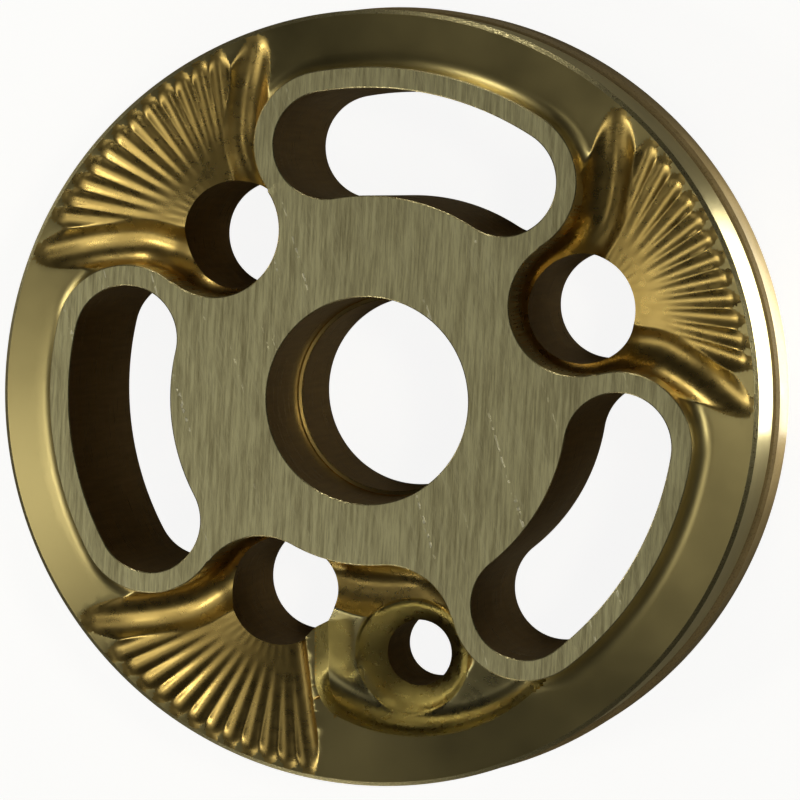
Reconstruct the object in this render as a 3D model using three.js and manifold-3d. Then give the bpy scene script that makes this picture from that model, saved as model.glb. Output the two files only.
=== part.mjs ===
// Damper piston, 46 mm: a machined brass valve body with a split guide band and the
// O-ring that energises it. Millimetres, +Z up. The origin is on the bore axis, in the
// plane of the rear seat. The front seat, with its three kidney lobes, faces +Z.
import * as THREE from "three";
import { mergeVertices } from "three/addons/utils/BufferGeometryUtils.js";
import Module from "manifold-3d";

const wasm = await Module();
wasm.setup();

// --- driving dimensions -----------------------------------------------------------

const THICKNESS = 13.5; // rear seat to front seat
const BODY_R = 22.6; // rim of the body
const RELIEF = 1.5; // seats stand this far above the two annular faces
const RIM_CHAMFER = 0.25;

const BORE_R = 5.7;
const COUNTERBORE_R = 6.0;
const COUNTERBORE_DEPTH = 7.0;
const BORE_CHAMFER = 0.25;

// Kidney ports, feed ports and the bleed recess sit on one angular pitch.
const PITCH = 54.5; // degrees
const FIRST_KIDNEY = -30.5; // degrees from +X
const KIDNEY_MIDS = [0, 2, 4].map((i) => FIRST_KIDNEY + i * PITCH);
const FEED_MIDS = [1, 3, 5].map((i) => FIRST_KIDNEY + i * PITCH);
const RECESS_MID = FIRST_KIDNEY - PITCH;

const KIDNEY_PATH_R = 14.95; // centre line of the slot
const KIDNEY_HALF_WIDTH = 3.1;
const KIDNEY_HALF_SWEEP = 21; // degrees, to the centre of the round end
const LOBE_WALL = 1.2; // seat land around each kidney

const FEED_R = 3.2;
const FEED_CENTRE_R = 13.0;
const POCKET_R = 3.95; // round notch in the hub seat at each feed port
const POCKET_CENTRE_R = 13.5;
const POCKET_DEPTH = 4.7; // below the front seat
const POCKET_HALF_GAP = 72; // degrees either side of the port's line where the fan takes over

// Fan of ball-nose flutes from each feed port out to the annulus.
const FLUTES = 12;
const FLUTE_PITCH = 3.27; // degrees at the tips
const FLUTE_BALL_R = 1.0;
const FLUTE_TIP_R = 21.25; // centre of the ball at the end of the cut
const FLUTE_TIP_DEPTH = 0.3; // below the annular face
const GROOVE_BALL_R = 1.55; // wider groove along each lobe
const GROOVE_PATH = [
  [9.5, 13.0],
  [11.2, 15.0],
  [13.4, 16.6],
  [17.2, 18.3],
  [20.4, 19.7],
  [23.6, 21.0],
]; // degrees from the port's own line, radius
const GROOVE_TIP_DEPTH = 0.35;
const FAN_COLUMNS = 76; // facets of the fluted floor
const FAN_ROWS = 9;
const FAN_HALF_TURN = 92; // degrees either side of the port's line, along the lobes
const FAN_RECESS_TURN = 48; // degrees, on the side where the bleed recess follows
const FAN_START = 1.0; // first row, from the port's axis
const FAN_REACH = 9.4; // first row to last

// Bleed hole in its recess.
const BLEED_R = 2.0;
const BLEED_CENTRE_R = 15.3;
const BLEED_ANGLE = 276.5;
const BLEED_SINK_R = 3.2;
const BLEED_SINK_DEPTH = 0.9;
const RECESS_LEFT_X = -3.0;
const RECESS_ARC_R = 10.0; // outer wall of the recess
const RECESS_ARC_CENTRE = new THREE.Vector2(2.4, -9.1);
const RECESS_ARC_END = -50; // degrees round that wall's centre, where it meets the lobe
const RECESS_CORNER = new THREE.Vector2(7.0, -13.0); // inside the lobe beside it

// Rear seats around the feed ports.
const REAR_HUB_R = 10.4;
const REAR_LOBE_R = 4.7;

// Guide band and its energiser in the rim groove.
const GROOVE_FLOOR_R = 19.9;
const GROOVE_LOW = 2.6;
const GROOVE_HIGH = 6.6;
const BAND_OUT_R = 22.95;
const BAND_IN_R = 21.45;
const BAND_GAP = 0.15; // to each side of the groove
const BAND_CHAMFER = 0.2;
const BAND_CUT_WIDTH = 0.5;
const BAND_CUT_ANGLE = 205; // degrees from +X
const BAND_CUT_SLANT = 35; // degrees off the axis
const RING_CENTRE_R = 20.7;
const RING_HALF_RADIAL = 0.63;
const RING_HALF_AXIAL = 0.85;

// Facets.
const AROUND = 96; // segments of a full turn on the rim
const BORE_SEGMENTS = 64;
const HUB_SEGMENTS = 40;
const PORT_SEGMENTS = 32;
const LOBE_SEGMENTS = 20;
const SLOT_SEGMENTS = 10; // on each arc of a kidney
const RING_SEGMENTS = 72;
const RING_SIDES = 12;
const RECESS_SEGMENTS = 12; // on each arc of the pockets and the recess

const OVERCUT = 1; // cutters run this far past a face
const CLEARANCE = 0.3; // a cutter's idle side stays this far above a face

// --- small helpers ------------------------------------------------------------------

const rad = THREE.MathUtils.degToRad;

function polar(degrees, radius) {
  return new THREE.Vector2(radius * Math.cos(rad(degrees)), radius * Math.sin(rad(degrees)));
}

// A closed three.js geometry as a manifold-3d solid.
function solid(geometry) {
  const bare = geometry.clone();
  bare.deleteAttribute("normal");
  bare.deleteAttribute("uv");
  const merged = mergeVertices(bare, 1e-4);
  return new wasm.Manifold(
    new wasm.Mesh({
      numProp: 3,
      vertProperties: merged.attributes.position.array,
      triVerts: new Uint32Array(merged.index.array),
    }),
  );
}

// A closed profile of [radius, height] pairs turned about Z.
function turned(profile, segments = AROUND) {
  const points = profile.map(([r, z]) => new THREE.Vector2(r, z));
  return solid(new THREE.LatheGeometry(points, segments).rotateX(Math.PI / 2));
}

// A shape in the XY plane, raised between two heights.
function raised(shape, low, high, curveSegments = RECESS_SEGMENTS) {
  const settings = { depth: high - low, bevelEnabled: false, curveSegments };
  return solid(new THREE.ExtrudeGeometry(shape, settings).translate(0, 0, low));
}

function disc(centre, radius, low, high, segments = PORT_SEGMENTS) {
  const shape = new THREE.Shape().absarc(centre.x, centre.y, radius, 0, 2 * Math.PI, false);
  return raised(shape, low, high, segments);
}

// A slot with round ends that follows an arc about the bore axis.
function arcSlot(mid, halfSweep, pathR, halfWidth, low, high) {
  const from = rad(mid - halfSweep);
  const to = rad(mid + halfSweep);
  const startEnd = polar(mid - halfSweep, pathR);
  const stopEnd = polar(mid + halfSweep, pathR);
  const shape = new THREE.Shape()
    .absarc(0, 0, pathR + halfWidth, from, to, false)
    .absarc(stopEnd.x, stopEnd.y, halfWidth, to, to + Math.PI, false)
    .absarc(0, 0, pathR - halfWidth, to, from, true)
    .absarc(startEnd.x, startEnd.y, halfWidth, from + Math.PI, from + 2 * Math.PI, false);
  return raised(shape, low, high, SLOT_SEGMENTS);
}

// Height of the floor that a ball-nose cutter leaves at a point, when the lowest point of
// the ball travels along a path of {at, floor} stations. Infinity where it doesn't reach.
function sweptFloor(point, path, ballR) {
  let lowest = Infinity;
  for (let i = 1; i < path.length; i++) {
    const start = path[i - 1];
    const leg = path[i].at.clone().sub(start.at);
    const share = point.clone().sub(start.at).dot(leg) / leg.lengthSq();
    const t = THREE.MathUtils.clamp(share, 0, 1);
    const away = start.at.clone().addScaledVector(leg, t).distanceTo(point);
    if (away >= ballR) continue;
    const floor = THREE.MathUtils.lerp(start.floor, path[i].floor, t);
    lowest = Math.min(lowest, floor + ballR - Math.sqrt(ballR * ballR - away * away));
  }
  return lowest;
}

function union(solids) {
  return solids.reduce((sum, next) => sum.add(next));
}

function meshOf(name, shape, material) {
  const cut = shape.getMesh();
  const geometry = new THREE.BufferGeometry()
    .setAttribute("position", new THREE.BufferAttribute(cut.vertProperties, 3))
    .setIndex(new THREE.BufferAttribute(cut.triVerts, 1));
  geometry.computeVertexNormals();
  const mesh = new THREE.Mesh(geometry, material);
  mesh.name = name;
  return mesh;
}

// --- the piston body ------------------------------------------------------------------

const FRONT_FACE = THICKNESS - RELIEF; // the annular face around the lobes
const REAR_FACE = RELIEF;
const POCKET_FLOOR = THICKNESS - POCKET_DEPTH;

function blank() {
  const rim = turned([
    [0, REAR_FACE],
    [BODY_R - RIM_CHAMFER, REAR_FACE],
    [BODY_R, REAR_FACE + RIM_CHAMFER],
    [BODY_R, GROOVE_LOW],
    [GROOVE_FLOOR_R, GROOVE_LOW],
    [GROOVE_FLOOR_R, GROOVE_HIGH],
    [BODY_R, GROOVE_HIGH],
    [BODY_R, FRONT_FACE - RIM_CHAMFER],
    [BODY_R - RIM_CHAMFER, FRONT_FACE],
    [0, FRONT_FACE],
  ]);
  const origin = new THREE.Vector2();
  const frontHub = disc(origin, POCKET_CENTRE_R, FRONT_FACE - OVERCUT, THICKNESS);
  return rim.add(frontHub).add(rearSeats(origin));
}

function rearSeats(origin) {
  const lobes = FEED_MIDS.map((mid) =>
    disc(polar(mid, FEED_CENTRE_R), REAR_LOBE_R, 0, REAR_FACE + OVERCUT, LOBE_SEGMENTS),
  );
  const hub = disc(origin, REAR_HUB_R, 0, REAR_FACE + OVERCUT, HUB_SEGMENTS);
  return union([hub, ...lobes]);
}

function flutePath(mid, offset) {
  return [
    { at: polar(mid, FEED_CENTRE_R), floor: POCKET_FLOOR },
    { at: polar(mid + offset, FLUTE_TIP_R), floor: FRONT_FACE - FLUTE_TIP_DEPTH },
  ];
}

function groovePath(mid, side) {
  const tipFloor = FRONT_FACE - GROOVE_TIP_DEPTH;
  return GROOVE_PATH.map(([offset, radius], i) => ({
    at: polar(mid + side * offset, radius),
    floor: THREE.MathUtils.lerp(POCKET_FLOOR, tipFloor, i / (GROOVE_PATH.length - 1)),
  }));
}

// A block over the fan of one feed port, whose underside is the fluted floor. Its columns
// are rays from the port's axis, and its rows are steps outward along them.
function fan(mid) {
  const besideRecess = mid === FEED_MIDS[2];
  const grooves = [groovePath(mid, -1)];
  if (!besideRecess) grooves.push(groovePath(mid, 1));
  const flutes = [];
  for (let i = 0; i < FLUTES; i++) {
    flutes.push(flutePath(mid, (i - (FLUTES - 1) / 2) * FLUTE_PITCH));
  }
  const clear = FRONT_FACE + CLEARANCE;
  const floorAt = (point) =>
    Math.min(
      clear,
      ...flutes.map((path) => sweptFloor(point, path, FLUTE_BALL_R)),
      ...grooves.map((path) => sweptFloor(point, path, GROOVE_BALL_R)),
    );
  const centre = polar(mid, FEED_CENTRE_R);
  const lastTurn = besideRecess ? FAN_RECESS_TURN : FAN_HALF_TURN;
  const block = new THREE.BoxGeometry(1, 1, 1, FAN_COLUMNS, FAN_ROWS, 1);
  const corner = block.attributes.position;
  for (let i = 0; i < corner.count; i++) {
    const turn = mid + THREE.MathUtils.lerp(lastTurn, -FAN_HALF_TURN, corner.getX(i) + 0.5);
    const out = FAN_REACH * (corner.getY(i) + 0.5) + FAN_START;
    const point = polar(turn, out).add(centre);
    const height = corner.getZ(i) < 0 ? floorAt(point) : THICKNESS + OVERCUT;
    corner.setXYZ(i, point.x, point.y, height);
  }
  return solid(block);
}

// The notch in the hub seat, on the bore side of the feed port.
function pocket(mid) {
  const centre = polar(mid, POCKET_CENTRE_R);
  const shape = new THREE.Shape().absarc(
    centre.x,
    centre.y,
    POCKET_R,
    rad(mid + POCKET_HALF_GAP),
    rad(mid + 360 - POCKET_HALF_GAP),
    false,
  );
  return raised(shape, POCKET_FLOOR, THICKNESS + OVERCUT);
}

// The recess joins the third feed pocket along the hub and widens round the bleed hole.
function bleedRecess() {
  const high = THICKNESS + OVERCUT;
  const innerR = POCKET_CENTRE_R - POCKET_R;
  const along = new THREE.Shape()
    .absarc(0, 0, POCKET_CENTRE_R + OVERCUT, rad(FEED_MIDS[2]), rad(RECESS_MID + 360), false)
    .absarc(0, 0, innerR, rad(RECESS_MID + 360), rad(FEED_MIDS[2]), true);
  const end = disc(polar(RECESS_MID, POCKET_CENTRE_R), POCKET_R, POCKET_FLOOR, high);
  const { x, y } = RECESS_ARC_CENTRE;
  const leftAngle = Math.acos((RECESS_LEFT_X - x) / RECESS_ARC_R);
  const outer = new THREE.Shape()
    .absarc(x, y, RECESS_ARC_R, -leftAngle, rad(RECESS_ARC_END), false)
    .lineTo(RECESS_CORNER.x, RECESS_CORNER.y)
    .lineTo(polar(RECESS_MID, POCKET_CENTRE_R).x, -POCKET_CENTRE_R + OVERCUT)
    .lineTo(RECESS_LEFT_X, -POCKET_CENTRE_R);
  return raised(along, POCKET_FLOOR, high).add(end).add(raised(outer, POCKET_FLOOR, high));
}

function bleedHole() {
  return turned(
    [
      [0, -OVERCUT],
      [BLEED_R, -OVERCUT],
      [BLEED_R, POCKET_FLOOR - BLEED_SINK_DEPTH],
      [BLEED_SINK_R, POCKET_FLOOR],
      [BLEED_SINK_R, POCKET_FLOOR + OVERCUT],
      [0, POCKET_FLOOR + OVERCUT],
    ],
    PORT_SEGMENTS,
  ).translate([...polar(BLEED_ANGLE, BLEED_CENTRE_R), 0]);
}

function bore() {
  return turned(
    [
      [0, -OVERCUT],
      [BORE_R + BORE_CHAMFER, -OVERCUT],
      [BORE_R + BORE_CHAMFER, 0],
      [BORE_R, BORE_CHAMFER],
      [BORE_R, THICKNESS - COUNTERBORE_DEPTH],
      [COUNTERBORE_R, THICKNESS - COUNTERBORE_DEPTH],
      [COUNTERBORE_R, THICKNESS + OVERCUT],
      [0, THICKNESS + OVERCUT],
    ],
    BORE_SEGMENTS,
  );
}

function pistonBody() {
  const lobes = KIDNEY_MIDS.map((mid) =>
    arcSlot(
      mid,
      KIDNEY_HALF_SWEEP,
      KIDNEY_PATH_R,
      KIDNEY_HALF_WIDTH + LOBE_WALL,
      POCKET_FLOOR - OVERCUT,
      THICKNESS,
    ),
  );
  const kidneys = KIDNEY_MIDS.map((mid) =>
    arcSlot(
      mid,
      KIDNEY_HALF_SWEEP,
      KIDNEY_PATH_R,
      KIDNEY_HALF_WIDTH,
      -OVERCUT,
      THICKNESS + OVERCUT,
    ),
  );
  const feeds = FEED_MIDS.map((mid) =>
    disc(polar(mid, FEED_CENTRE_R), FEED_R, -OVERCUT, THICKNESS + OVERCUT),
  );
  return blank()
    .subtract(union(FEED_MIDS.flatMap((mid) => [fan(mid), pocket(mid)])))
    .subtract(bleedRecess())
    .add(union(lobes))
    .subtract(union([...kidneys, ...feeds, bleedHole(), bore()]));
}

// --- band and energiser ---------------------------------------------------------------

// A flat ring, cut through on a slant so that it can be sprung into the groove.
function pistonBand() {
  const low = GROOVE_LOW + BAND_GAP;
  const high = GROOVE_HIGH - BAND_GAP;
  const ring = turned([
    [BAND_IN_R, low],
    [BAND_OUT_R - BAND_CHAMFER, low],
    [BAND_OUT_R, low + BAND_CHAMFER],
    [BAND_OUT_R, high - BAND_CHAMFER],
    [BAND_OUT_R - BAND_CHAMFER, high],
    [BAND_IN_R, high],
    [BAND_IN_R, low],
  ]);
  const reach = BAND_OUT_R - BAND_IN_R + 2 * OVERCUT;
  const middle = (BAND_OUT_R + BAND_IN_R) / 2;
  const slit = new THREE.BoxGeometry(reach, BAND_CUT_WIDTH, 2 * (high - low))
    .rotateX(rad(BAND_CUT_SLANT))
    .translate(middle, 0, (high + low) / 2)
    .rotateZ(rad(BAND_CUT_ANGLE));
  return ring.subtract(solid(slit));
}

// The O-ring, squeezed a little oval between the groove floor and the band.
function bandEnergiser() {
  const height = (GROOVE_LOW + GROOVE_HIGH) / 2;
  const section = [];
  for (let i = 0; i <= RING_SIDES; i++) {
    const turn = (2 * Math.PI * (i % RING_SIDES)) / RING_SIDES;
    section.push([
      RING_CENTRE_R + RING_HALF_RADIAL * Math.cos(turn),
      height + RING_HALF_AXIAL * Math.sin(turn),
    ]);
  }
  return turned(section, RING_SEGMENTS);
}

// --- materials and the assembly ---------------------------------------------------------

const brass = new THREE.MeshStandardMaterial({ color: 0x8a7540, roughness: 0.35, metalness: 1 });
const filledPtfe = new THREE.MeshStandardMaterial({ color: 0x8f7a4a, roughness: 0.55, metalness: 0 });
const rubber = new THREE.MeshStandardMaterial({ color: 0x1b1b1c, roughness: 0.6, metalness: 0 });

const damperPiston = new THREE.Group();
damperPiston.add(meshOf("piston_body", pistonBody(), brass));
damperPiston.add(meshOf("piston_band", pistonBand(), filledPtfe));
damperPiston.add(meshOf("band_energiser", bandEnergiser(), rubber));

export default damperPiston;
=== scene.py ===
"""Looks of the damper piston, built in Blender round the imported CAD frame.

The shapes are worked out in millimetres and written to the meshes in metres. +Z runs along
the bore axis towards the front seat, and angles are in degrees from +X.
"""

import functools
import math

import bmesh
import bpy
import numpy as np
from mathutils import Matrix, Vector, geometry


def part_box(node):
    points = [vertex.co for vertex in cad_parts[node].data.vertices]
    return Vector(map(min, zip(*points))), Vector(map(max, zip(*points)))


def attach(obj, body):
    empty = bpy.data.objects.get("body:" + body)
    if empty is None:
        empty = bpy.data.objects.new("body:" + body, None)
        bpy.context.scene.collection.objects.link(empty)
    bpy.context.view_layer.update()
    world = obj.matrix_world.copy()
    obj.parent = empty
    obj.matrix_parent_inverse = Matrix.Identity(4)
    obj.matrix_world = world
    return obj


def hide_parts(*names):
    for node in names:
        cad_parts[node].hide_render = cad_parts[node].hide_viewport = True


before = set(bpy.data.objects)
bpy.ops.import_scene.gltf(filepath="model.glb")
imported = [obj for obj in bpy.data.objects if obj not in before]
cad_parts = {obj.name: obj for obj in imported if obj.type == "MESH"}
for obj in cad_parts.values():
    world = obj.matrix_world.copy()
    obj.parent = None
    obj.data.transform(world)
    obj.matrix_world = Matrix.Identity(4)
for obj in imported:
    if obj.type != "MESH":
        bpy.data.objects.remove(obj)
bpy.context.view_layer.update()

MM = 0.001

# --- driving dimensions, mm -------------------------------------------------------------

_, body_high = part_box("piston_body")
band_low, band_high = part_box("piston_band")
ring_low, ring_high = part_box("band_energiser")

SEAT = body_high.z / MM
BODY_R = body_high.x / MM
FRONT_FACE = SEAT - 1.5  # annular face round the lobes
REAR_FACE = 1.5
POCKET_FLOOR = SEAT - 4.7
EDGE_BREAK = 0.06
WALL_DRAFT = 0.04
RIM_CHAMFER = 0.25

BORE_R = 5.7
COUNTERBORE_R = 6.0
COUNTERBORE_DEPTH = 7.0

# Kidneys, feed ports and the bleed recess sit on one angular pitch.
PITCH = 54.5
FIRST_KIDNEY = -30.5
KIDNEY_MIDS = [FIRST_KIDNEY + i * PITCH for i in (0, 2, 4)]
FEED_MIDS = [FIRST_KIDNEY + i * PITCH for i in (1, 3, 5)]
RECESS_MID = FIRST_KIDNEY - PITCH + 360

KIDNEY_PATH_R = 14.95
KIDNEY_HALF_WIDTH = 3.1
KIDNEY_HALF_SWEEP = 21
LOBE_HALF_WIDTH = 4.3
LOBE_FILLET = 0.9

FEED_R = 3.2
FEED_CENTRE_R = 13.0
HUB_R = 13.5
POCKET_CENTRE_R = 13.5
POCKET_R = 3.95

FLUTES = 12
FLUTE_PITCH = 3.27  # degrees at the tips
FLUTE_BALL_R = 1.0
FLUTE_TIP_R = 21.95  # where a flute runs out through the face
GROOVE_BALL_R = 1.65
CREST_ROUND = 0.14  # height over which two cuts blend at a crest
GROOVE_STATIONS = [(11.0, 15.0), (13.0, 16.6), (16.8, 18.3), (20.4, 19.8), (24.6, 21.8)]

BLEED_R = 1.95
BLEED_CENTRE_R = 15.3
BLEED_ANGLE = 276.2
BLEED_EDGE_DEPTH = 1.6  # from the pocket floor to the edge of the hole
BLEED_SINK_SLOPE = 1.3  # rise over run of the sink's wall
BLEED_SINK_RUN = 1.4  # width of the sink round the hole
BLEED_SINK_BLEND = 0.6
RECESS_LEFT_X = -3.5
RECESS_ARC_R = 10.5
RECESS_ARC_CENTRE = (2.4, -9.1)
RECESS_CORNER_R = 1.3
RECESS_FILLET = 1.5
RECESS_DISH = 0.14  # curvature of the floor near the outer wall
RECESS_RISE = 0.16  # the floor climbs from the outer wall towards the hub
RECESS_LOW = 1.5  # where the climb starts, from the outer wall
RECESS_EASE = 0.6  # length over which the climb sets in
RECESS_DISH_RUN = 2.3  # where the curvature ends, from the outer wall
TROUGH_BALL_R = 2.0

REAR_HUB_R = 10.4
REAR_LOBE_R = 4.7
REAR_FILLET = 0.35

BORE_CHAMFER = 0.25

BAND_OUT_R = band_high.x / MM
BAND_IN_R = 21.45
BAND_CHAMFER = 0.2
BAND_BREAK = 0.08
BAND_CUT_WIDTH = 0.5
BAND_CUT_ANGLE = 205
BAND_CUT_SLANT = 35  # degrees off the axis
RING_CENTRE_R = 20.7
RING_HALF_RADIAL = 0.63
RING_FLASH = 0.02

GROOVE_FLOOR_R = 19.9
GROOVE_LOW = 2.6
GROOVE_HIGH = 6.6

# --- fineness of the meshes: segments round a turn, then lengths in mm --------------------

AROUND = 360
BORE_AROUND = 180
FEED_AROUND = 96
BLEED_AROUND = 72
SLOT_STEP = 0.25
LEVEL_STEP = 0.22
FOLD_STEP = 0.16
REAR_STEP = 0.3
CUT_STEP = 0.14  # between loose points on the ball-nose cuts
FACE_STEP = 0.5  # between loose points on the flat face
REAR_FILLET_LINES = (0.04, 0.12, 0.22, 0.34)  # distances from the foot of the rear wall
BLEND_LINES = (-1, -0.5, 0, 0.5, 1)  # across a blend, as shares of its reach
SINK_LINES = (-0.8, -0.4, 0, 0.4, 0.8)
RIDGE_POINTS = 26
RIDGE_LINES = (-0.1, -0.05, 0, 0.05, 0.1)  # beside a flute's crest
FRONT_SNAP = 0.005  # points of the front closer than this are one
REAR_SNAP = 0.003
WELD = 0.002
SLIVER = 0.02  # a triangle thinner than this is dissolved

STEEP = 3  # rise over run past a ball's reach
FAR = 5.0  # how far above the front face an idle cutter counts


# --- plane geometry: distances are positive inside a shape --------------------------------


def polar(degrees, radius):
    turn = math.radians(degrees)
    return np.array([radius * math.cos(turn), radius * math.sin(turn)])


def in_circle(p, centre, radius):
    return radius - np.hypot(p[..., 0] - centre[0], p[..., 1] - centre[1])


def in_arc_slot(p, mid, half_sweep, path_r, half_width):
    """Distance into a slot with round ends that follows an arc about the bore axis."""
    turn = np.degrees(np.arctan2(p[..., 1], p[..., 0])) - mid
    turn = (turn + 180) % 360 - 180
    nearest = np.radians(mid + np.clip(turn, -half_sweep, half_sweep))
    away = np.hypot(p[..., 0] - path_r * np.cos(nearest), p[..., 1] - path_r * np.sin(nearest))
    return half_width - away


def highest(fields):
    return np.maximum.reduce(list(fields))


def lowest(fields):
    return np.minimum.reduce(list(fields))


def in_kidneys(p):
    return highest(
        in_arc_slot(p, mid, KIDNEY_HALF_SWEEP, KIDNEY_PATH_R, KIDNEY_HALF_WIDTH)
        for mid in KIDNEY_MIDS
    )


def in_feeds(p):
    return highest(in_circle(p, polar(mid, FEED_CENTRE_R), FEED_R) for mid in FEED_MIDS)


def in_bleed(p):
    return in_circle(p, polar(BLEED_ANGLE, BLEED_CENTRE_R), BLEED_R)


def in_land(p):
    """Distance into the front seat's outline: the hub less its pockets, and the lobes."""
    channel_mid = (FEED_MIDS[2] + RECESS_MID) / 2
    channel_half = (RECESS_MID - FEED_MIDS[2]) / 2
    channel = in_arc_slot(p, channel_mid, channel_half, POCKET_CENTRE_R, POCKET_R)
    pockets = [in_circle(p, polar(mid, POCKET_CENTRE_R), POCKET_R) for mid in FEED_MIDS[:2]]
    hub = lowest([in_circle(p, (0, 0), HUB_R), -channel, *(-pocket for pocket in pockets)])
    lobes = [
        in_arc_slot(p, mid, KIDNEY_HALF_SWEEP, KIDNEY_PATH_R, LOBE_HALF_WIDTH)
        for mid in KIDNEY_MIDS
    ]
    return highest([hub, *lobes])


def in_rear_seat(p):
    lobes = (in_circle(p, polar(mid, FEED_CENTRE_R), REAR_LOBE_R) for mid in FEED_MIDS)
    return highest([in_circle(p, (0, 0), REAR_HUB_R), *lobes])


def in_recess(p):
    """Distance into the recess, whose left and outer walls meet in a round corner."""
    left = p[..., 0] - RECESS_LEFT_X
    outer = in_circle(p, RECESS_ARC_CENTRE, RECESS_ARC_R)
    lacks = [np.maximum(RECESS_CORNER_R - side, 0) for side in (left, outer)]
    corner = RECESS_CORNER_R - np.hypot(*lacks)
    in_corner = (left < RECESS_CORNER_R) & (outer < RECESS_CORNER_R)
    return np.where(in_corner, corner, np.minimum(left, outer))


# --- heights of the machined surfaces -----------------------------------------------------


def fillet(away, radius):
    """Rise of a concave corner of that radius, at a distance from its wall."""
    run = np.clip(radius - away, 0, radius)
    return radius - np.sqrt(radius**2 - run**2)


def blended(a, b, reach):
    """The lower of two floors, with the crease between them rounded."""
    share = np.clip(0.5 + 0.5 * (b - a) / reach, 0, 1)
    return b + share * (a - b) - reach * share * (1 - share)


def rounded_lowest(fields):
    return functools.reduce(lambda a, b: blended(a, b, CREST_ROUND), fields)


def swept_floor(p, path, ball_r):
    """Floor that a ball-nose cutter leaves along a path of (x, y, floor) stations.
    Past the ball's reach the value keeps climbing, so that it can still be compared."""
    low = np.full(p.shape[:-1], np.inf)
    for start, stop in zip(path[:-1], path[1:]):
        leg = stop[:2] - start[:2]
        share = ((p - start[:2]) @ leg) / (leg @ leg)
        share = np.clip(share, 0, 1)
        away = np.linalg.norm(p - start[:2] - share[..., None] * leg, axis=-1)
        reach = np.minimum(away, ball_r)
        rise = ball_r - np.sqrt(ball_r**2 - reach**2) + STEEP * (away - reach)
        low = np.minimum(low, start[2] + share * (stop[2] - start[2]) + rise)
    return low


def smooth_path(stations, per_leg=12):
    """Catmull-Rom points through the stations."""
    ends = [2 * stations[0] - stations[1], *stations, 2 * stations[-1] - stations[-2]]
    made = []
    for a, b, c, d in zip(ends, ends[1:], ends[2:], ends[3:]):
        for t in np.arange(per_leg) / per_leg:
            cubic = (3 * b - a - 3 * c + d) * t**3
            made.append(0.5 * (2 * b + (c - a) * t + (2 * a - 5 * b + 4 * c - d) * t**2 + cubic))
    return [*made, stations[-1]]


def flute_paths(mid):
    start = np.append(polar(mid, FEED_CENTRE_R), POCKET_FLOOR)
    offsets = (np.arange(FLUTES) - (FLUTES - 1) / 2) * FLUTE_PITCH
    return [[start, np.append(polar(mid + turn, FLUTE_TIP_R), FRONT_FACE)] for turn in offsets]


def groove_path(mid, side):
    """Round the pocket from its bore side, then out along the lobe to the tip."""
    centre = polar(mid, POCKET_CENTRE_R)
    round_r = POCKET_R - GROOVE_BALL_R
    inner = [centre + polar(mid + side * turn, round_r) for turn in (180, 157, 135, 112, 90)]
    level = [np.append(at, POCKET_FLOOR) for at in inner]
    climb = []
    for i, (turn, radius) in enumerate(GROOVE_STATIONS):
        share = (i + 1) / len(GROOVE_STATIONS)
        floor = POCKET_FLOOR + share * (FRONT_FACE - POCKET_FLOOR)
        climb.append(np.append(polar(mid + side * turn, radius), floor))
    return smooth_path([*level, *climb])


def flutes_floor(p, mid):
    return rounded_lowest(swept_floor(p, path, FLUTE_BALL_R) for path in flute_paths(mid))


def grooves_floor(p, mid):
    sides = (-1,) if mid == FEED_MIDS[2] else (-1, 1)
    return lowest(swept_floor(p, groove_path(mid, side), GROOVE_BALL_R) for side in sides)


def trough_floor(p):
    """The ball's way from the third feed port along the hub, and down the next lobe."""
    along_r = POCKET_CENTRE_R - POCKET_R + TROUGH_BALL_R
    along = [polar(turn, along_r) for turn in (236, 242, 249, 256, 263, 270)]
    end = polar(RECESS_MID, POCKET_CENTRE_R)
    corner = [end + polar(turn, POCKET_R - TROUGH_BALL_R) for turn in (75, 50, 25, 0)]
    beside = polar(KIDNEY_MIDS[0] - KIDNEY_HALF_SWEEP, KIDNEY_PATH_R)
    lobe = [beside + polar(turn, LOBE_HALF_WIDTH + TROUGH_BALL_R) for turn in (190, 203, 216)]
    path = [np.append(at, POCKET_FLOOR) for at in [*along, *corner, *lobe]]
    return swept_floor(p, smooth_path(path, 6), TROUGH_BALL_R)


def recess_floor(p):
    """The wide floor round the bleed hole, with its wall down from the front face."""
    inside = in_recess(p)
    from_arc = in_circle(p, RECESS_ARC_CENTRE, RECESS_ARC_R)
    past = from_arc - RECESS_LOW
    climb = RECESS_RISE / 2 * (past + np.hypot(past, RECESS_EASE))
    climb = climb + RECESS_DISH / 2 * np.maximum(RECESS_DISH_RUN - from_arc, 0) ** 2
    floor = POCKET_FLOOR + climb + fillet(np.maximum(from_arc, 0), RECESS_FILLET)
    drop = np.clip(1.2 * inside / WALL_DRAFT - 0.1, 0, 1)
    brim = FRONT_FACE + CREST_ROUND  # high enough that the wall's edge isn't rounded
    walled = brim + drop * (np.minimum(floor, FRONT_FACE) - brim)
    return np.where(inside >= 0, walled, FRONT_FACE + FAR)


def sink_floor(p):
    """The sunk cone round the bleed hole, which climbs out of the way past its rim."""
    from_edge = -in_bleed(p)
    past_rim = STEEP * np.maximum(from_edge - BLEED_SINK_RUN, 0)
    return POCKET_FLOOR - BLEED_EDGE_DEPTH + BLEED_SINK_SLOPE * from_edge + past_rim


def face_floor(p):
    away = np.maximum(-in_land(p) - WALL_DRAFT, 0)
    return FRONT_FACE + fillet(away, LOBE_FILLET)


def cut_floors(p, mid):
    """Floors round one feed port that could be the lowest at a point, the face first."""
    fields = [face_floor(p), flutes_floor(p, mid), grooves_floor(p, mid)]
    if mid == FEED_MIDS[2]:
        fields += [trough_floor(p), recess_floor(p)]
    return fields


def seat_margin(p):
    """Distance from a point on the front seat to the nearest edge of it."""
    return lowest([in_land(p), -in_kidneys(p), -in_circle(p, (0, 0), COUNTERBORE_R)])


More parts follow.
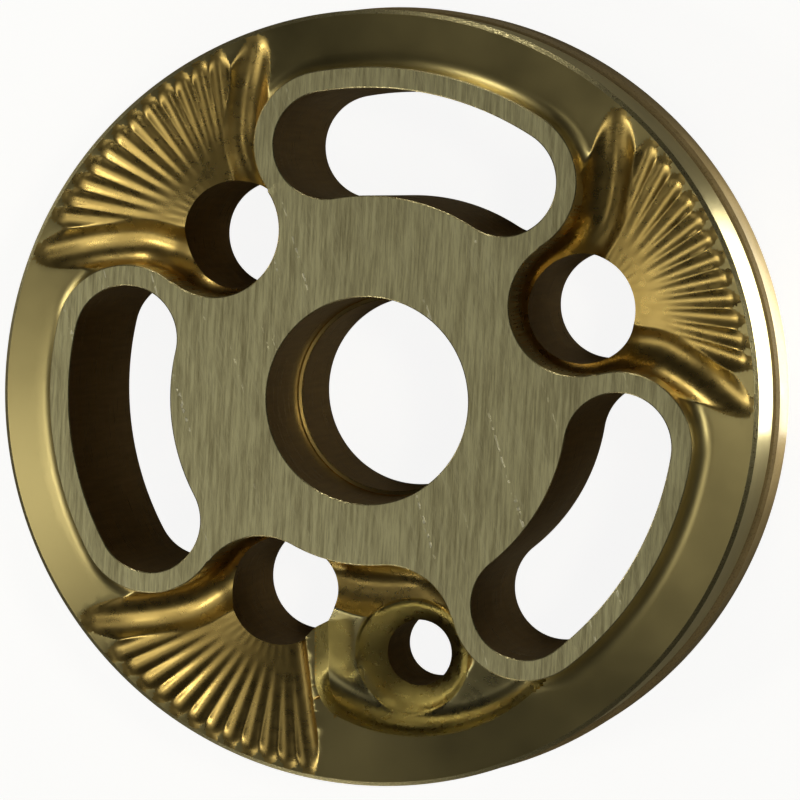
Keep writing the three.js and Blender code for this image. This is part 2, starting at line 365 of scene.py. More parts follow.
def front_height(p):
    on_seat = SEAT - np.clip(EDGE_BREAK - seat_margin(p), 0, EDGE_BREAK)
    cuts = [floor for mid in FEED_MIDS for floor in cut_floors(p, mid)[1:]]
    floor = rounded_lowest([face_floor(p), *cuts])
    at_rim = np.hypot(p[..., 0], p[..., 1]) > BODY_R - RIM_CHAMFER - 0.01
    floor = np.where(at_rim, FRONT_FACE, floor)
    floor = blended(floor, sink_floor(p), BLEED_SINK_BLEND)
    floor = np.minimum(floor, SEAT - EDGE_BREAK)
    return np.where(in_land(p) > -WALL_DRAFT / 2, on_seat, floor)


def rear_height(p):
    inside = in_rear_seat(p)
    away = np.maximum(-inside - WALL_DRAFT, 0)
    from_hole = lowest([-in_kidneys(p), -in_feeds(p), -in_bleed(p)])
    seat = np.clip(EDGE_BREAK - np.minimum(inside, from_hole), 0, EDGE_BREAK)
    face = REAR_FACE - fillet(away, REAR_FILLET) + np.clip(EDGE_BREAK - from_hole, 0, EDGE_BREAK)
    return np.where(inside > -WALL_DRAFT / 2, seat, face)


# --- triangulation: lines where the surface folds, and points where it curves ---------------


def refined(points, field, level):
    """Newton steps that put points on a field's level."""
    small = 1e-4
    for _ in range(2):
        value = field(points) - level
        slope = np.stack(
            [
                (field(points + step) - field(points - step)) / (2 * small)
                for step in (np.array([small, 0.0]), np.array([0.0, small]))
            ],
            axis=-1,
        )
        size = np.maximum((slope**2).sum(-1), 1e-6)
        move = -(value / size)[:, None] * slope
        points = points + np.clip(move, -0.05, 0.05)
    return points


def contours(field, levels, low, high, step=0.2):
    """(points, edges) of each of a field's level lines in a window."""
    xs = np.arange(low[0], high[0] + step, step)
    ys = np.arange(low[1], high[1] + step, step)
    grid = np.stack(np.meshgrid(xs, ys), axis=-1)
    value = field(grid)
    return [level_line(grid, value - level, field, level) for level in levels]


def level_line(grid, value, field, level):
    """The line where value, the field less the level, is 0, by marching squares."""
    value[value == 0] = 1e-9
    above = value > 0
    ids = {}
    points = []

    def crossing(j, i, dj, di):
        key = (j, i, dj)
        if key not in ids:
            a, b = value[j, i], value[j + dj, i + di]
            ids[key] = len(points)
            points.append(grid[j, i] + (a / (a - b)) * (grid[j + dj, i + di] - grid[j, i]))
        return ids[key]

    edges = []
    mixed = (above[:-1, :-1] != above[1:, :-1]) | (above[:-1, :-1] != above[:-1, 1:])
    mixed |= above[:-1, :-1] != above[1:, 1:]
    for j, i in zip(*np.nonzero(mixed)):
        cell = []
        for jj, ii, dj, di in ((j, i, 0, 1), (j, i + 1, 1, 0), (j + 1, i, 0, 1), (j, i, 1, 0)):
            if above[jj, ii] != above[jj + dj, ii + di]:
                cell.append(crossing(jj, ii, dj, di))
        edges += list(zip(cell[::2], cell[1::2]))
    if not points:
        return np.zeros((0, 2)), []
    return refined(np.array(points), field, level), edges


def kept_edges(points, edges, test):
    """The edges whose middle passes a test."""
    if not edges:
        return points, []
    ends = np.array(edges)
    good = test((points[ends[:, 0]] + points[ends[:, 1]]) / 2)
    return points, [edge for edge, keep in zip(edges, good) if keep]


def circle_line(centre, radius, count):
    turns = 360 * np.arange(count) / count
    points = np.array([polar(turn, radius) for turn in turns]) + np.array(centre)
    return points, [(i, (i + 1) % count) for i in range(count)]


def slot_line(mid, half_sweep, path_r, half_width, step):
    """The closed outline of an arc slot."""
    points = []
    for radius, start, stop in (
        (path_r + half_width, mid - half_sweep, mid + half_sweep),
        (path_r - half_width, mid + half_sweep, mid - half_sweep),
    ):
        count = max(2, round(math.radians(abs(stop - start)) * radius / step))
        points += [polar(start + (stop - start) * i / count, radius) for i in range(count)]
        end = polar(stop, path_r)
        turn = stop if radius > path_r else stop + 180
        count = round(math.pi * half_width / step)
        points += [end + polar(turn + 180 * i / count, half_width) for i in range(count)]
    return np.array(points), [(i, (i + 1) % len(points)) for i in range(len(points))]


def hex_points(low, high, step, test):
    rows = np.arange(low[1], high[1], step * math.sqrt(3) / 2)
    made = []
    for i, y in enumerate(rows):
        xs = np.arange(low[0] + (i % 2) * step / 2, high[0], step)
        made.append(np.stack([xs, np.full(len(xs), y)], axis=-1))
    points = np.concatenate(made)
    return points[test(points)]


def triangulated(lines, loose, in_domain, snap):
    """Constrained Delaunay triangles of lines and loose points, inside a domain."""
    points = []
    edges = []
    for line_points, line_edges in lines:
        used = sorted({i for edge in line_edges for i in edge})
        place = {old: len(points) + new for new, old in enumerate(used)}
        points += [line_points[i] for i in used]
        edges += [(place[a], place[b]) for a, b in line_edges]
    points += list(loose)
    flat = [Vector((float(x), float(y))) for x, y in points]
    made = geometry.delaunay_2d_cdt(flat, edges, [], 0, snap)
    plane = np.array([(v.x, v.y) for v in made[0]])
    faces = np.array([face for face in made[2] if len(face) == 3])
    middles = plane[faces].mean(axis=1)
    return plane, faces[in_domain(middles)]


# Low and high corner of the window round each feed port's cuts.
FOLD_WINDOWS = [
    ((6.0, -4.5), (22.6, 19.5)),
    ((-21.5, 5.0), (-1.5, 22.6)),
    ((-22.6, -22.6), (9.5, -6.0)),
]


def fold_lines():
    """Lines where two cut floors of the front cross. Each pair of floors is taken once."""
    lines = []
    for mid, (low, high) in zip(FEED_MIDS, FOLD_WINDOWS):
        for i in range(len(cut_floors(np.zeros((1, 2)), mid)) - 1):

            def gap(p, i=i, mid=mid):
                fields = cut_floors(p, mid)
                # The recess comes last, and its wall up to the face has lines of its own.
                last = -1 if i == 0 and len(fields) > 3 else None
                return fields[i] - lowest(fields[i + 1 : last])

            def shows(p, i=i, mid=mid):
                fields = cut_floors(p, mid)
                on_top = fields[i] <= lowest([fields[i] + 1, *fields[:i]]) + CREST_ROUND
                beside_land = in_land(p) < -WALL_DRAFT / 2
                return on_top & beside_land & (np.hypot(p[:, 0], p[:, 1]) < BODY_R - 0.5)

            levels = [share * CREST_ROUND for share in BLEND_LINES]
            for points, edges in contours(gap, levels, low, high, FOLD_STEP):
                lines.append(kept_edges(points, edges, shows))
    return lines


def sink_lines():
    """Lines round the sunk cone's rim, where it runs out into the floors round it."""

    def gap(p):
        return rounded_lowest(cut_floors(p, FEED_MIDS[2])) - sink_floor(p)

    def shows(p):
        return (in_land(p) < -WALL_DRAFT / 2) & (in_bleed(p) < -0.05)

    low, high = FOLD_WINDOWS[2]
    levels = [share * BLEED_SINK_BLEND for share in SINK_LINES]
    found = contours(gap, levels, low, high, FOLD_STEP)
    return [kept_edges(points, edges, shows) for points, edges in found]


def ridge_lines():
    """The crests between neighbouring flutes, straight out from each feed port."""
    lines = []
    for mid in FEED_MIDS:
        tips = [path[1][:2] for path in flute_paths(mid)]
        start = polar(mid, FEED_CENTRE_R)
        for a, b in zip(tips, tips[1:]):
            rays = [(tip - start) / np.linalg.norm(tip - start) for tip in (a, b)]
            crest = (rays[0] + rays[1]) / np.linalg.norm(rays[0] + rays[1])
            beside = np.array([-crest[1], crest[0]])
            reach = np.linalg.norm(a - start) + 0.2
            for offset in RIDGE_LINES:
                along = np.linspace(FEED_R + 0.05, reach, RIDGE_POINTS)
                points = start + np.outer(along, crest) + offset * beside
                lines.append((points, [(i, i + 1) for i in range(RIDGE_POINTS - 1)]))
    return lines


def front_domain(p):
    solid_here = lowest([-in_kidneys(p), -in_feeds(p), -in_bleed(p)])
    ring = np.minimum(-in_circle(p, (0, 0), COUNTERBORE_R), BODY_R - RIM_CHAMFER - np.hypot(*p.T))
    return np.minimum(solid_here, ring)


def hole_lines():
    """Outlines of the holes that go right through, the bore apart."""
    lines = [
        slot_line(mid, KIDNEY_HALF_SWEEP, KIDNEY_PATH_R, KIDNEY_HALF_WIDTH, SLOT_STEP)
        for mid in KIDNEY_MIDS
    ]
    lines += [circle_line(polar(mid, FEED_CENTRE_R), FEED_R, FEED_AROUND) for mid in FEED_MIDS]
    return [*lines, circle_line(polar(BLEED_ANGLE, BLEED_CENTRE_R), BLEED_R, BLEED_AROUND)]


def front_surface():
    """(points, triangles) of the front in the plane."""
    low, high = (-BODY_R, -BODY_R), (BODY_R, BODY_R)
    lines = [circle_line((0, 0), BODY_R - RIM_CHAMFER, AROUND)]
    lines.append(circle_line((0, 0), COUNTERBORE_R, BORE_AROUND))
    lines.append(circle_line((0, 0), COUNTERBORE_R + EDGE_BREAK, BORE_AROUND))
    lines += hole_lines()
    broken_half_width = KIDNEY_HALF_WIDTH + EDGE_BREAK
    lines += [
        slot_line(mid, KIDNEY_HALF_SWEEP, KIDNEY_PATH_R, broken_half_width, SLOT_STEP)
        for mid in KIDNEY_MIDS
    ]
    in_body = lambda p: front_domain(p) > 0
    levels = [EDGE_BREAK, 0, -WALL_DRAFT]
    for tilt in range(80, -1, -10):
        levels.append(-WALL_DRAFT - (1 - math.sin(math.radians(tilt))) * LOBE_FILLET)
    for line in contours(in_land, levels, low, high, LEVEL_STEP):
        lines.append(kept_edges(*line, in_body))
    window = FOLD_WINDOWS[2]
    beside_land = lambda p: (in_land(p) < -WALL_DRAFT) & (front_domain(p) > 0)
    for line in contours(in_recess, (0, WALL_DRAFT), *window, LEVEL_STEP):
        lines.append(kept_edges(*line, beside_land))
    lines += fold_lines()
    lines += sink_lines()
    lines += ridge_lines()

    def cut(p):
        deep = front_height(p) < FRONT_FACE - 0.01
        return deep & (in_land(p) < -WALL_DRAFT - 0.05) & (front_domain(p) > 0.08)

    def level_face(p):
        at_face = np.abs(front_height(p) - FRONT_FACE) < 1e-6
        return at_face & (in_land(p) < -1.2) & (BODY_R - np.hypot(*p.T) > 0.6)

    loose = [hex_points(*window, CUT_STEP, cut) for window in FOLD_WINDOWS]
    loose.append(hex_points(low, high, FACE_STEP, level_face))
    return triangulated(lines, np.concatenate(loose), in_body, FRONT_SNAP)


def inside_loops(p, loops):
    """Even-odd test of points against closed loops of (points, edges)."""
    inside = np.zeros(len(p), bool)
    for points, edges in loops:
        for (ax, ay), (bx, by) in ((points[a], points[b]) for a, b in edges if a != b):
            spans = (ay > p[:, 1]) != (by > p[:, 1])
            across = ax + (p[:, 1] - ay) * (bx - ax) / ((by - ay) or 1)
            inside ^= spans & (p[:, 0] < across)
    return inside


def rear_surface(lines):
    """(points, triangles) of the rear in the plane, inside the lines of its rim and holes."""
    low, high = (-BODY_R, -BODY_R), (BODY_R, BODY_R)
    in_body = lambda p: inside_loops(p, lines)
    broken_half_width = KIDNEY_HALF_WIDTH + EDGE_BREAK
    rings = [
        slot_line(mid, KIDNEY_HALF_SWEEP, KIDNEY_PATH_R, broken_half_width, SLOT_STEP)
        for mid in KIDNEY_MIDS
    ]
    for mid in FEED_MIDS:
        rings.append(circle_line(polar(mid, FEED_CENTRE_R), FEED_R + EDGE_BREAK, FEED_AROUND))
    bleed_centre = polar(BLEED_ANGLE, BLEED_CENTRE_R)
    rings.append(circle_line(bleed_centre, BLEED_R + EDGE_BREAK, BLEED_AROUND))
    levels = [EDGE_BREAK, 0, -WALL_DRAFT, *(-WALL_DRAFT - away for away in REAR_FILLET_LINES)]
    rings += contours(in_rear_seat, levels, low, high, REAR_STEP)
    return triangulated([*lines, *rings], np.zeros((0, 2)), in_body, REAR_SNAP)


# --- closed meshes: a patch is (points, faces, one finish for each face) --------------------

LAPPED, EDGE, TURNED, SCOOPED, DISHED, BORED, RIM = range(7)


def boundary_edges(faces):
    """Directed edges that only one triangle uses."""
    edges = np.concatenate([faces[:, [0, 1]], faces[:, [1, 2]], faces[:, [2, 0]]])
    used = {tuple(edge) for edge in edges.tolist()}
    return np.array([edge for edge in sorted(used) if edge[::-1] not in used])


def quads(rows, finishes, closed=True):
    """A patch between rows of points, with one finish for each pair of rows."""
    count = len(rows[0])
    faces = []
    for j in range(len(rows) - 1):
        for i in range(count if closed else count - 1):
            a = j * count + i
            b = j * count + (i + 1) % count
            faces.append((a, a + count, b + count, b))
    each = len(faces) // len(finishes)
    return np.concatenate(rows), faces, [finish for finish in finishes for _ in range(each)]


def lathe(profile, turns, finishes):
    """A profile of (radius, z) stations turned round the bore axis."""
    rows = [np.array([[*polar(turn, radius), z] for turn in turns]) for radius, z in profile]
    return quads(rows, finishes)


def piece(name, patches, materials, sharp=30):
    """One mesh object from patches that meet at their borders. It is smooth within a finish,
    up to that angle, and has a hard edge where two finishes meet."""
    points = []
    faces = []
    finishes = []
    for patch_points, patch_faces, patch_finishes in patches:
        first = len(points)
        points += [tuple(point * MM) for point in patch_points]
        faces += [tuple(first + int(i) for i in face) for face in patch_faces]
        finishes += list(patch_finishes)
    mesh = bpy.data.meshes.new(name)
    mesh.from_pydata(points, [], faces)
    for material in materials:
        mesh.materials.append(material)
    mesh.polygons.foreach_set("material_index", [int(finish) for finish in finishes])
    work = bmesh.new()
    work.from_mesh(mesh)
    bmesh.ops.remove_doubles(work, verts=work.verts, dist=WELD * MM)
    bmesh.ops.dissolve_degenerate(work, dist=SLIVER * MM, edges=work.edges)
    bmesh.ops.recalc_face_normals(work, faces=work.faces)
    for face in work.faces:
        face.smooth = True
    for edge in work.edges:
        one_finish = len({face.material_index for face in edge.link_faces}) == 1
        edge.smooth = one_finish and edge.calc_face_angle(math.pi) < math.radians(sharp)
    work.to_mesh(mesh)
    work.free()
    made = bpy.data.objects.new(name, mesh)
    bpy.context.scene.collection.objects.link(made)
    return made


def front_finishes(points, faces):
    middles = points[faces].mean(axis=1)
    p = middles[:, :2]
    *others, recess = cut_floors(p, FEED_MIDS[2])
    in_dish = np.minimum(recess, sink_floor(p)) <= lowest(others)
    cut = np.where(in_dish, DISHED, SCOOPED)
    finishes = np.where(middles[:, 2] < FRONT_FACE - 0.004, cut, TURNED)
    finishes = np.where(in_land(p) > 0, LAPPED, finishes)
    return np.where((in_land(p) > 0) & (seat_margin(p) < EDGE_BREAK), EDGE, finishes)


def rear_finishes(points, faces):
    middles = points[faces].mean(axis=1)
    p = middles[:, :2]
    finishes = np.where(in_rear_seat(p) > 0, LAPPED, TURNED)
    from_hole = lowest([-in_kidneys(p), -in_feeds(p), -in_bleed(p)])
    near_edge = (in_rear_seat(p) > 0) & (in_rear_seat(p) < EDGE_BREAK)
    return np.where(near_edge | (from_hole < EDGE_BREAK), EDGE, finishes)


def body_patches():
    plane, faces = front_surface()
    front = np.column_stack([plane, front_height(plane)])
    patches = [(front, faces, front_finishes(front, faces))]

    borders = boundary_edges(faces)
    middle_r = np.hypot(*((plane[borders[:, 0]] + plane[borders[:, 1]]) / 2).T)
    turns_of = lambda ends: np.sort(np.degrees(np.arctan2(*plane[ends[:, 0]].T[::-1])))
    rim_turns = turns_of(borders[middle_r > BODY_R - 2 * RIM_CHAMFER])
    bore_turns = turns_of(borders[middle_r < COUNTERBORE_R + EDGE_BREAK / 2])
    holes = borders[(middle_r > COUNTERBORE_R + EDGE_BREAK) & (middle_r < BODY_R - 1)]

    used, ends = np.unique(holes, return_inverse=True)
    ends = ends.reshape(holes.shape)
    top = front[used]
    foot = np.column_stack([top[:, :2], rear_height(top[:, :2])])
    walls = [(b, a, a + len(used), b + len(used)) for a, b in ends]
    patches.append((np.concatenate([top, foot]), walls, [BORED] * len(walls)))

    groove_edge = 0.08
    fillet_r = 0.2
    rim = [
        (BODY_R - RIM_CHAMFER, FRONT_FACE),
        (BODY_R, FRONT_FACE - RIM_CHAMFER),
        (BODY_R, GROOVE_HIGH + groove_edge),
        (BODY_R - groove_edge, GROOVE_HIGH),
        (GROOVE_FLOOR_R + fillet_r, GROOVE_HIGH),
        (GROOVE_FLOOR_R, GROOVE_HIGH - fillet_r),
        (GROOVE_FLOOR_R, GROOVE_LOW + fillet_r),
        (GROOVE_FLOOR_R + fillet_r, GROOVE_LOW),
        (BODY_R - groove_edge, GROOVE_LOW),
        (BODY_R, GROOVE_LOW - groove_edge),
        (BODY_R, REAR_FACE + RIM_CHAMFER),
        (BODY_R - RIM_CHAMFER, REAR_FACE),
    ]
    rim_finishes = [EDGE, RIM, EDGE, TURNED, TURNED, RIM, TURNED, TURNED, EDGE, RIM, EDGE]
    patches.append(lathe(rim, rim_turns, rim_finishes))
    shoulder = SEAT - COUNTERBORE_DEPTH
    bore = [
        (COUNTERBORE_R, SEAT - EDGE_BREAK),
        (COUNTERBORE_R, shoulder + EDGE_BREAK),
        (COUNTERBORE_R - EDGE_BREAK, shoulder),
        (BORE_R + EDGE_BREAK, shoulder),
        (BORE_R, shoulder - EDGE_BREAK),
        (BORE_R, BORE_CHAMFER),
        (BORE_R + BORE_CHAMFER, 0),
    ]
    patches.append(lathe(bore, bore_turns, [BORED, BORED, TURNED, EDGE, BORED, EDGE]))

    ring = lambda radius, turns: (
        np.array([polar(turn, radius) for turn in turns]),
        [(i, (i + 1) % len(turns)) for i in range(len(turns))],
    )
    lines = [ring(BODY_R - RIM_CHAMFER, rim_turns), ring(BORE_R + BORE_CHAMFER, bore_turns)]
    lines.append((foot[:, :2], [tuple(edge) for edge in ends.tolist()]))
    plane, faces = rear_surface(lines)
    rear = np.column_stack([plane, rear_height(plane)])
    patches.append((rear, faces[:, ::-1], rear_finishes(rear, faces)))
    return patches


def band_patches():
    """The guide band, swept from one side of its slanted cut to the other."""
    low, high = band_low.z / MM, band_high.z / MM
    middle = (low + high) / 2
    section = [
        (BAND_IN_R, low + BAND_BREAK),
        (BAND_IN_R + BAND_BREAK, low),
        (BAND_OUT_R - BAND_CHAMFER, low),
        (BAND_OUT_R, low + BAND_CHAMFER),
        (BAND_OUT_R, middle),
        (BAND_OUT_R, high - BAND_CHAMFER),
        (BAND_OUT_R - BAND_CHAMFER, high),
        (BAND_IN_R + BAND_BREAK, high),
        (BAND_IN_R, high - BAND_BREAK),
        (BAND_IN_R, middle),
    ]
    half_gap = BAND_CUT_WIDTH / 2 / math.cos(math.radians(BAND_CUT_SLANT))
    rows = []
    for share in np.linspace(0, 1, AROUND + 1):
        row = []
        for radius, z in section:
            slant = (z - middle) * math.tan(math.radians(BAND_CUT_SLANT))
            start = math.degrees((slant + half_gap) / radius)
            stop = 360 + math.degrees((slant - half_gap) / radius)
            turn = BAND_CUT_ANGLE + start + share * (stop - start)
            row.append([*polar(turn, radius), z])
        rows.append(np.array(row))
    caps = [tuple(range(len(section)))]
    return [
        quads(rows, [0] * AROUND),
        (rows[0], caps, [0]),
        (rows[-1], caps, [0]),
    ]


def energiser_patches():
    """The O-ring, squeezed a little oval, with its thin mould line round the outside."""
    height = (ring_low.z + ring_high.z) / 2 / MM
    half_axial = (ring_high.z - ring_low.z) / 2 / MM
    section = []
    for turn in np.linspace(0, 360, 32, endpoint=False):
        flash = RING_FLASH if turn in (0, 180) else 0
        across = RING_HALF_RADIAL - RING_FLASH + flash
        x, y = polar(turn, 1)
        section.append((RING_CENTRE_R + across * x, height + half_axial * y))
    turns = np.linspace(0, 360, 240, endpoint=False)
    return [lathe([*section, section[0]], turns, [0] * len(section))]


# --- materials: a bare tree of nodes for each finish ---------------------------------------


class Shader:
    """Builds one procedural material from the object's own coordinates."""

    def __init__(self, name):
        self.material = bpy.data.materials.new(name)
        self.material.use_nodes = True
        self.nodes = self.material.node_tree.nodes
        self.links = self.material.node_tree.links
        self.surface = self.nodes["Principled BSDF"]
        self.place = self.node("ShaderNodeTexCoord").outputs["Object"]

    def node(self, kind, values=None, **settings):
        made = self.nodes.new(kind)
        for key, value in settings.items():
            setattr(made, key, value)
        for key, value in (values or {}).items():
            self.put(made.inputs[key], value)
        return made

    def put(self, socket, value):
        if isinstance(value, bpy.types.NodeSocket):
            self.links.new(value, socket)
        else:
            socket.default_value = value

    def math(self, operation, *values):
        made = self.node("ShaderNodeMath", dict(enumerate(values)), operation=operation)
        return made.outputs[0]

    def noise(self, place, scale, detail=2, roughness=0.5):
        values = {"Vector": place, "Scale": scale, "Detail": detail, "Roughness": roughness}
        return self.node("ShaderNodeTexNoise", values).outputs["Fac"]

    def stretched(self, scale, turn=0):
        """The object's place in millimetres, turned about Z, then scaled along each axis."""
        turned = {"Vector": self.place, "Rotation": (0, 0, math.radians(turn))}
        place = self.node("ShaderNodeMapping", turned).outputs[0]
        values = {"Vector": place, "Scale": [1000 * each for each in scale]}
        return self.node("ShaderNodeMapping", values).outputs[0]

    def around(self, scale):
        """(radius, turn, height) about the bore axis in millimetres, scaled."""
        axes = self.node("ShaderNodeSeparateXYZ", {0: self.place}).outputs
        squares = [self.math("MULTIPLY", axis, axis) for axis in (axes[0], axes[1])]
        away = self.math("SQRT", self.math("ADD", *squares))
        radius = self.math("MULTIPLY", away, 1000 * scale[0])
        turn = self.math("MULTIPLY", self.math("ARCTAN2", axes[1], axes[0]), scale[1])
        height = self.math("MULTIPLY", axes[2], 1000 * scale[2])
        return self.node("ShaderNodeCombineXYZ", {0: radius, 1: turn, 2: height}).outputs[0]

    def ranged(self, value, low, high, start=0.3, stop=0.7):
        names = ("Value", "From Min", "From Max", "To Min", "To Max")
        values = dict(zip(names, (value, start, stop, low, high)))
        return self.node("ShaderNodeMapRange", values).outputs[0]

    def mixed(self, share, low, high):
        made = self.node("ShaderNodeMix", data_type="RGBA")
        self.put(made.inputs["Factor"], share)
        for key, colour in ((6, low), (7, high)):
            self.put(made.inputs[key], (*colour, 1) if isinstance(colour, tuple) else colour)
        return made.outputs[2]

    def bumped(self, *layers):
        """Bump from (height, depth in millimetres) layers, one over another."""
        normal = None
        for height, depth in layers:
            values = {"Height": height, "Strength": 1.0, "Distance": depth * MM}
            if normal is not None:
                values["Normal"] = normal
            normal = self.node("ShaderNodeBump", values).outputs[0]
        self.put(self.surface.inputs["Normal"], normal)

    def grained(self, amount):
        """Stretches the highlights across tool rings that run about the bore axis."""
        tangent = self.node("ShaderNodeTangent", direction_type="RADIAL", axis="Z")
        self.put(self.surface.inputs["Anisotropic"], amount)
        self.put(self.surface.inputs["Anisotropic Rotation"], 0.25)
        self.put(self.surface.inputs["Tangent"], tangent.outputs[0])

    def finish(self, colour, metallic, roughness):
        self.put(self.surface.inputs["Base Color"], colour)
        self.put(self.surface.inputs["Metallic"], metallic)
        self.put(self.surface.inputs["Roughness"], roughness)
        return self.material


def lapped_brass():
    """Flat seats rubbed on a lapping plate: dull, with hairlines and a few deeper scratches."""
    made = Shader("lapped_brass")
    hairs = made.noise(made.stretched((5.5, 0.35, 1), 3), 1.0, 4, 0.65)
    crossed = made.noise(made.stretched((7, 0.5, 1), -20), 1.0, 3, 0.6)
    grain = made.noise(made.stretched((14, 14, 14)), 1.0, 2)
    cloud = made.noise(made.stretched((0.14, 0.14, 0.14)), 1.0, 3)
    streak = made.noise(made.stretched((2.6, 0.09, 1), -17), 1.0, 1)
    dots = made.noise(made.stretched((5, 4, 5)), 1.0, 0)
    streak = made.ranged(streak, 0, 1, 0.70, 0.76)
    deep = made.math("MULTIPLY", streak, made.ranged(dots, 0, 1, 0.5, 0.6))
    tone = made.mixed(made.ranged(cloud, 0, 1), (0.88, 0.84, 0.56), (0.98, 0.94, 0.64))
    tone = made.mixed(made.ranged(hairs, 0, 0.9, 0.38, 0.72), tone, (0.42, 0.37, 0.22))
    tone = made.mixed(made.ranged(crossed, 0, 0.5, 0.55, 0.8), tone, (1.0, 0.97, 0.72))
    tone = made.mixed(deep, tone, (0.98, 0.95, 0.80))
    made.bumped((grain, 0.004), (hairs, 0.010), (crossed, 0.006), (deep, 0.02))
    return made.finish(tone, 1.0, made.ranged(grain, 0.42, 0.54))


def edge_brass():
    made = Shader("edge_brass")
    grain = made.noise(made.stretched((9, 9, 9)), 1.0, 3)
    tone = made.mixed(made.ranged(grain, 0, 1, 0.5, 0.65), (0.50, 0.45, 0.27), (0.90, 0.80, 0.52))
    made.bumped((grain, 0.02))
    return made.finish(tone, 1.0, made.ranged(grain, 0.50, 0.22))


def turned_brass():
    """Faces turned on a lathe, with fine tool rings about the bore axis."""
    made = Shader("turned_brass")
    rings = made.noise(made.around((11, 0.7, 6)), 1.0, 2)
    fine = made.noise(made.around((30, 1.6, 18)), 1.0, 1)
    cloud = made.noise(made.stretched((0.2, 0.2, 0.2)), 1.0, 3)
    tone = made.mixed(made.ranged(cloud, 0, 1), (0.72, 0.61, 0.31), (0.82, 0.70, 0.36))
    made.bumped((rings, 0.0015), (fine, 0.0006))
    made.grained(0.7)
    return made.finish(tone, 1.0, made.ranged(cloud, 0.30, 0.38))


def scooped_brass(name, dark, light):
    """Ball-nose cuts: satin, with faint chatter across the cutter's way."""
    made = Shader(name)
    chatter = made.noise(made.around((3.2, 4, 3.2)), 1.0, 2)
    wear = made.noise(made.stretched((1.5, 1.5, 1.5)), 1.0, 3)
    cloud = made.noise(made.stretched((0.3, 0.3, 0.3)), 1.0, 3)
    tone = made.mixed(made.ranged(cloud, 0, 1), dark, light)
    made.bumped((chatter, 0.0008))
    return made.finish(tone, 1.0, made.ranged(wear, 0.25, 0.33))


def bored_brass():
    """Walls of drilled, bored and milled holes, with tool marks round each axis."""
    made = Shader("bored_brass")
    marks = made.noise(made.stretched((0.4, 0.4, 9)), 1.0, 3)
    drawn = made.noise(made.stretched((4, 4, 0.3)), 1.0, 2)
    tone = made.mixed(made.ranged(drawn, 0, 1), (0.50, 0.35, 0.15), (0.60, 0.43, 0.19))
    made.bumped((marks, 0.003), (drawn, 0.0015))
    return made.finish(tone, 1.0, made.ranged(marks, 0.26, 0.36))


def rim_brass():
    """The turned rim, where the feed leaves a fine thread of rings."""
    made = Shader("rim_brass")
    rings = made.noise(made.around((0.2, 0.8, 14)), 1.0, 2)
    cloud = made.noise(made.stretched((0.25, 0.25, 0.25)), 1.0, 3)
    tone = made.mixed(made.ranged(cloud, 0, 1), (0.76, 0.69, 0.44), (0.86, 0.78, 0.50))
    made.bumped((rings, 0.003))
    made.grained(0.5)
    return made.finish(tone, 1.0, made.ranged(rings, 0.34, 0.46))


def filled_ptfe():
    """Bronze-filled PTFE: waxy tan with fine dark specks of filler."""
    made = Shader("filled_ptfe")
    specks = made.noise(made.stretched((9, 9, 9)), 1.0, 1)
    cloud = made.noise(made.stretched((0.5, 0.5, 0.5)), 1.0, 3)
    rings = made.noise(made.around((0.5, 1, 10)), 1.0, 2)
    tone = made.mixed(made.ranged(cloud, 0, 1), (0.33, 0.245, 0.125), (0.40, 0.30, 0.16))
    tone = made.mixed(made.ranged(specks, 0, 0.6, 0.56, 0.7), tone, (0.16, 0.11, 0.05))
    made.bumped((rings, 0.006), (specks, 0.004))
    return made.finish(tone, 0.0, made.ranged(cloud, 0.42, 0.55))


def ring_rubber():
    made = Shader("ring_rubber")
    grain = made.noise(made.stretched((6, 6, 6)), 1.0, 3)
    tone = made.mixed(made.ranged(grain, 0, 1), (0.010, 0.010, 0.011), (0.020, 0.020, 0.021))
    made.bumped((grain, 0.006))
    return made.finish(tone, 0.0, made.ranged(grain, 0.45, 0.6))


# --- the pieces --------------------------------------------------------------------------

brasses = [
    lapped_brass(),
    edge_brass(),
    turned_brass(),
    scooped_brass("fluted_brass", (0.78, 0.56, 0.20), (0.86, 0.64, 0.25)),
    scooped_brass("dished_brass", (0.62, 0.55, 0.31), (0.70, 0.63, 0.37)),
    bored_brass(),
    rim_brass(),
]
body = piece("body", body_patches(), brasses)
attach(body, "piston")
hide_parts("piston_body")

band = piece("band", band_patches(), [filled_ptfe()])
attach(band, "band")
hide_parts("piston_band")

energiser = piece("energiser", energiser_patches(), [ring_rubber()], sharp=80)
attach(energiser, "piston")
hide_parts("band_energiser")


# --- floor, light and camera ----------------------------------------------------------------

CENTRE = Vector((0, 0, SEAT * MM))


def direction(tilt, azimuth):
    """Unit vector at a tilt off the bore axis."""
    tilt, azimuth = math.radians(tilt), math.radians(azimuth)
    return Vector(
        (math.sin(tilt) * math.cos(azimuth), math.sin(tilt) * math.sin(azimuth), math.cos(tilt))
    )


FLOOR_GLOW = 0.9
LAMP_COLOUR = (1.0, 0.95, 0.72)
CARD_SIZE = (0.050, 0.017)
CARD_PLACE = (0.0485, 0.006, 0.0006)
CARD_POWER = 0.020
CAMERA_TILT = 14.5
CAMERA_AZIMUTH = 11.4
CAMERA_DISTANCE = 0.25
FOCAL_LENGTH = 194.8  # millimetres


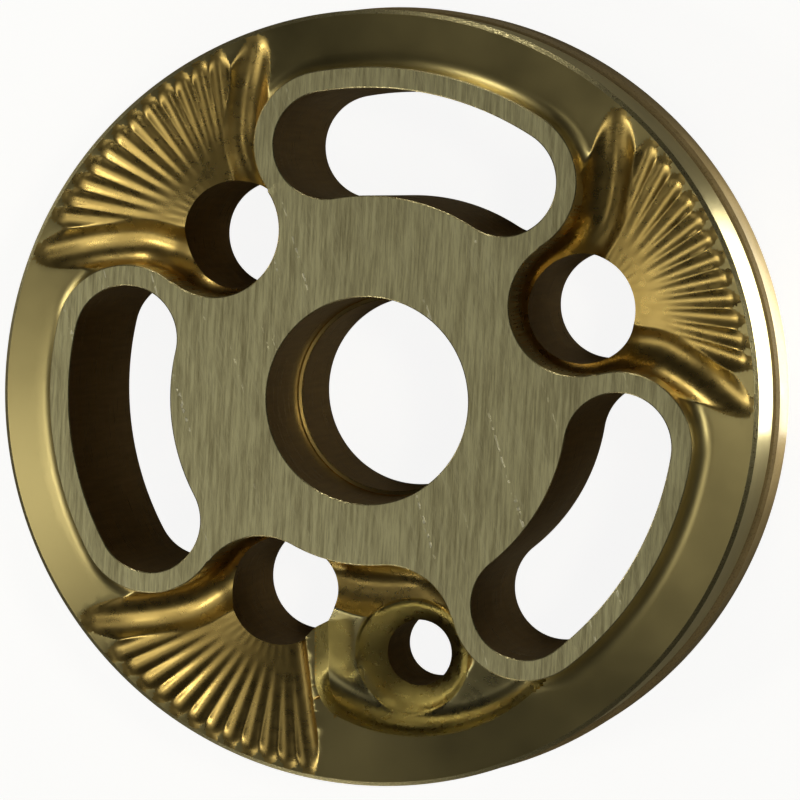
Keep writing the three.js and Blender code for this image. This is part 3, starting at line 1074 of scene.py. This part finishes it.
def floor_piece():
    half = 1.2
    mesh = bpy.data.meshes.new("floor")
    corners = [(-half, -half, 0), (half, -half, 0), (half, half, 0), (-half, half, 0)]
    mesh.from_pydata(corners, [], [(0, 1, 2, 3)])
    made = Shader("pale_floor")
    seen = made.node("ShaderNodeLightPath").outputs["Is Camera Ray"]
    made.put(made.surface.inputs["Emission Color"], (1.0, 1.0, 1.0, 1))
    made.put(made.surface.inputs["Emission Strength"], made.math("MULTIPLY", seen, FLOOR_GLOW))
    tone = made.mixed(seen, (0.40, 0.38, 0.35), (0.3, 0.3, 0.3))
    mesh.materials.append(made.finish(tone, 0.0, 0.9))
    floor = bpy.data.objects.new("floor", mesh)
    bpy.context.scene.collection.objects.link(floor)


def area_lamp(name, size, power):
    data = bpy.data.lights.new(name, "AREA")
    data.shape = "RECTANGLE"
    data.size, data.size_y = size
    data.energy = power
    data.color = LAMP_COLOUR
    lamp = bpy.data.objects.new(name, data)
    bpy.context.scene.collection.objects.link(lamp)
    return lamp


def soft_box(name, tilt, azimuth, size, power, distance=0.5):
    """A lamp over the piston that faces it."""
    lamp = area_lamp(name, size, power)
    facing = direction(tilt, azimuth)
    across = Vector((0, 0, 1)).cross(facing).normalized()
    lamp.location = CENTRE + distance * facing
    lamp.rotation_mode = "QUATERNION"
    basis = Matrix((across.cross(facing), across, facing)).transposed()
    lamp.rotation_quaternion = basis.to_quaternion()


def rim_card():
    """Stands for a bright card on the floor beside the rim, out of the camera's sight."""
    lamp = area_lamp("rim_card", CARD_SIZE, CARD_POWER)
    lamp.location = CARD_PLACE
    lamp.rotation_euler = (math.pi, 0, 0)
    lamp.visible_camera = False


floor_piece()

# name, tilt and azimuth in degrees, (width, height) in metres, watts
LIGHTS = [
    ("key", 27, 13, (0.06, 0.06), 0.17),
    ("top_key", 78, 82, (0.08, 0.08), 0.18),
    ("left_key", 34, 193, (0.06, 0.06), 0.125),
    ("left_fill", 48, 195, (0.12, 0.12), 0.045),
    ("low_right", 25, 328, (0.16, 0.16), 0.10),
    ("high_right", 25, 58, (0.16, 0.16), 0.035),
    ("low_left", 36, 245, (0.06, 0.06), 0.02),
    ("side_left", 80, 160, (0.14, 0.14), 0.30),
    ("side_back", 80, 250, (0.14, 0.14), 0.30),
]
for name, tilt, azimuth, size, power in LIGHTS:
    soft_box(name, tilt, azimuth, size, power)
rim_card()

world = bpy.data.worlds.new("studio")
world.use_nodes = True
backdrop = world.node_tree.nodes["Background"]
backdrop.inputs["Color"].default_value = (1.0, 0.97, 0.85, 1)
backdrop.inputs["Strength"].default_value = 0.01
bpy.context.scene.world = world
bpy.context.scene.view_settings.view_transform = "Standard"

lens = bpy.data.cameras.new("camera")
lens.lens = FOCAL_LENGTH
lens.shift_x = 0.042
lens.shift_y = 0.001
camera = bpy.data.objects.new("camera", lens)
toward = direction(CAMERA_TILT, CAMERA_AZIMUTH)
camera.location = CENTRE + CAMERA_DISTANCE * toward
right = Vector((0, 1, 0)).cross(toward).normalized()
camera.rotation_mode = "QUATERNION"
camera.rotation_quaternion = Matrix((right, toward.cross(right), toward)).transposed().to_quaternion()
bpy.context.scene.collection.objects.link(camera)
bpy.context.scene.camera = camera
